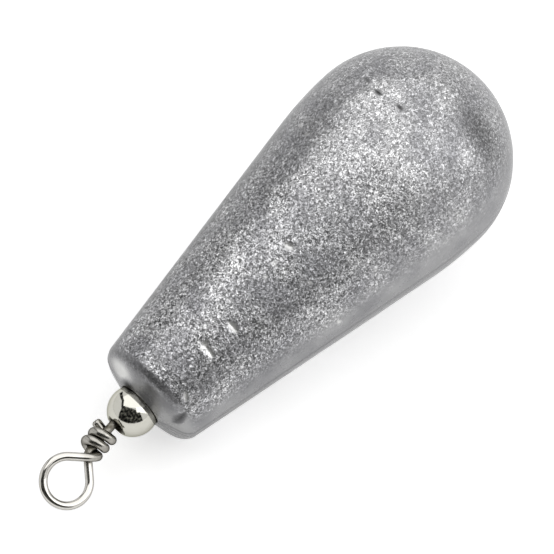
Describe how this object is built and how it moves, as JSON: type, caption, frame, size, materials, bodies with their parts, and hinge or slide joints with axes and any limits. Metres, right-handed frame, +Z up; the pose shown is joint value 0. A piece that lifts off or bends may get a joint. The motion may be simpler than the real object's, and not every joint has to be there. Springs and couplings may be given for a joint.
{
  "type": "fishing sinker",
  "caption": "Pear-shaped cast lead fishing sinker with a barrel swivel cast into its neck; the twisted wire eye takes the line and spins freely in the barrel.",
  "frame": {"origin": "on the surface that the sinker lies on, below the middle of its bounding box", "axes": "+Z up, -X towards the wire eye and +X towards the bulb; the sinker lies on its tapered flank, so its own axis runs down towards the eye by the flank's angle"},
  "size_m": [0.0568, 0.021, 0.0215],
  "materials": {
    "cast_lead": "as-cast lead, dull and finely grained",
    "plated_barrel": "bright nickel plate",
    "plated_wire": "bright nickel plate on drawn wire"
  },
  "bodies": {
    "sinker": {"lead_body": "cast_lead", "swivel_barrel": "plated_barrel", "anchor_eye": "plated_wire"},
    "eye": {"line_eye": "plated_wire"}
  },
  "joints": [
    {"name": "line_eye_spin", "type": "hinge", "parent": "sinker", "child": "eye", "pos_m": [-0.023, 0, 0.00406], "axis": [-0.9749, -0.077, -0.209], "continuous": true}
  ]
}
